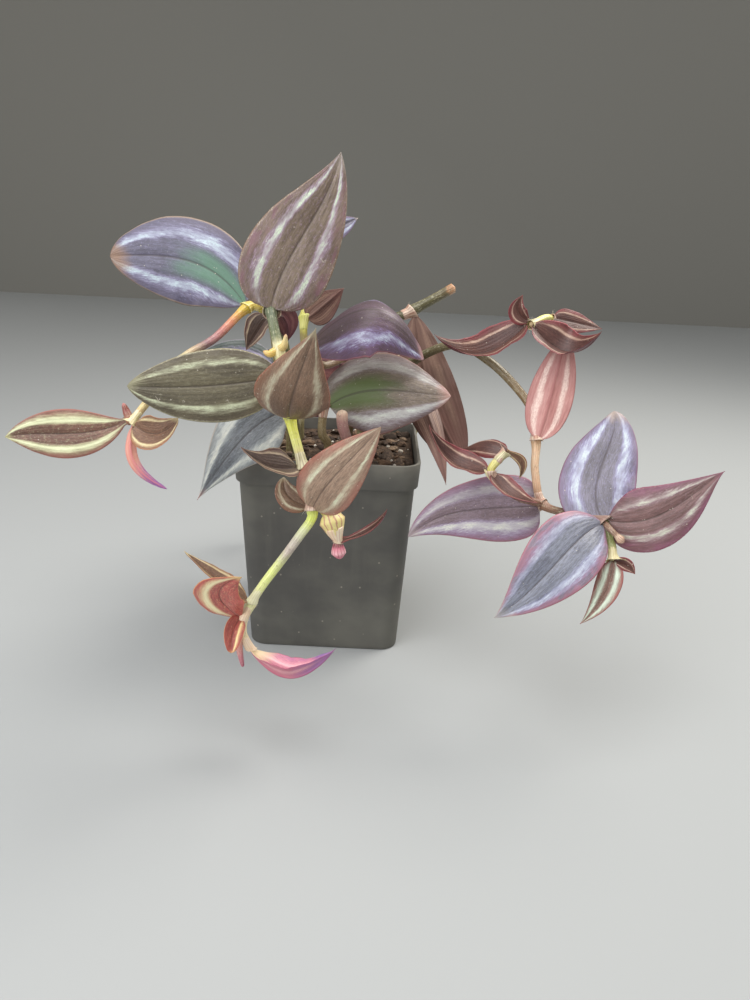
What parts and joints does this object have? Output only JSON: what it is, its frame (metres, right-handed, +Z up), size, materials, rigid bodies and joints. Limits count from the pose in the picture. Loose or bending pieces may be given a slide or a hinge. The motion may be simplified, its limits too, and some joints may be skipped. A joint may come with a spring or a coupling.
{
  "type": "potted tradescantia",
  "caption": "Young trailing plant with dark, silver-striped leaves on jointed vines, growing from potting mix in a small tapered square nursery pot.",
  "frame": {"origin": "middle of the flat underside of the pot", "axes": "+Z up; -Y towards the plant's front, the side that the picture shows; +X to the right of that view"},
  "size_m": [0.225, 0.1889, 0.1821],
  "materials": {
    "pot": "matte",
    "soil": "matte",
    "stem": "satin",
    "leaf": "satin"
  },
  "bodies": {
    "root": {"pot": "pot", "soil": "soil", "stem_front": "stem", "stem_left": "stem", "stem_right": "stem", "stem_centre": "stem", "stem_low": "stem", "stem_stub": "stem", "stem_cut": "stem", "stem_back_left": "stem", "stem_back_right": "stem", "leaf_front_1": "leaf", "leaf_front_2": "leaf", "leaf_front_3": "leaf", "leaf_front_4": "leaf", "leaf_front_5": "leaf", "leaf_front_6": "leaf", "leaf_front_7": "leaf", "leaf_front_8": "leaf", "leaf_front_9": "leaf", "leaf_front_10": "leaf", "leaf_front_11": "leaf", "leaf_front_12": "leaf", "leaf_front_13": "leaf", "leaf_bud": "leaf", "leaf_left_1": "leaf", "leaf_left_2": "leaf", "leaf_left_3": "leaf", "leaf_left_4": "leaf", "leaf_left_5": "leaf", "leaf_centre_1": "leaf", "leaf_centre_2": "leaf", "leaf_centre_3": "leaf", "leaf_low": "leaf", "leaf_cut": "leaf", "leaf_right_1": "leaf", "leaf_right_2": "leaf", "leaf_right_3": "leaf", "leaf_right_4": "leaf", "leaf_right_5": "leaf", "leaf_right_6": "leaf", "leaf_right_7": "leaf", "leaf_right_8": "leaf", "leaf_upper_1": "leaf", "leaf_upper_2": "leaf", "leaf_upper_3": "leaf", "leaf_upper_4": "leaf", "leaf_lower_1": "leaf", "leaf_lower_2": "leaf", "leaf_lower_3": "leaf", "leaf_lower_4": "leaf", "leaf_back_1": "leaf", "leaf_back_2": "leaf", "leaf_back_3": "leaf", "leaf_back_4": "leaf", "leaf_back_5": "leaf", "leaf_back_6": "leaf", "leaf_back_7": "leaf", "leaf_back_8": "leaf"}
  },
  "joints": []
}
